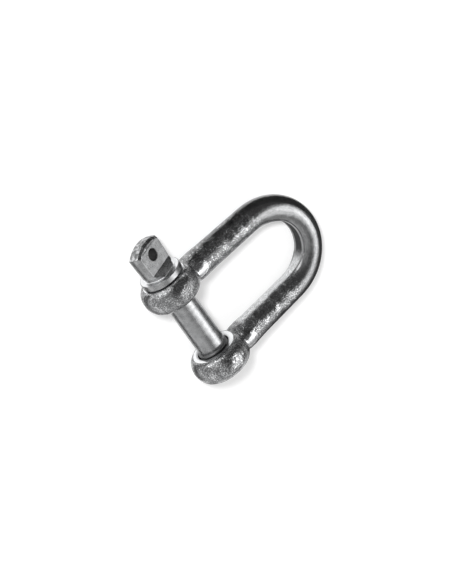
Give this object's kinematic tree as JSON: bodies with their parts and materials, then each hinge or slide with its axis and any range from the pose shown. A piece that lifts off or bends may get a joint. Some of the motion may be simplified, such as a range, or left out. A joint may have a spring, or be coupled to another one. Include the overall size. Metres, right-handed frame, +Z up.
{
  "type": "dee shackle with screw pin",
  "caption": "Forged dee shackle with two flared eyes and a screw pin with a flat holed head, for joining lengths of chain.",
  "frame": {"origin": "centre of the footprint of the part's bounding box, on the surface that the shackle lies on", "axes": "+X from the eyes towards the crown, +Y along the pin towards its head, +Z up from the surface that the shackle lies on"},
  "size_m": [0.0699, 0.0608, 0.0224],
  "materials": {
    "forged_bow": "zinc plated over rough forged steel, pitted and mottled",
    "plated_pin": "zinc plated turned steel, smooth shank, finely grained head"
  },
  "bodies": {
    "bow": {"shackle_bow": "forged_bow"},
    "pin": {"screw_pin": "plated_pin"}
  },
  "joints": [
    {"name": "pin_withdraw", "type": "slide", "parent": "bow", "child": "pin", "axis": [0, 1, 0], "range_m": [0, 0.047]}
  ]
}
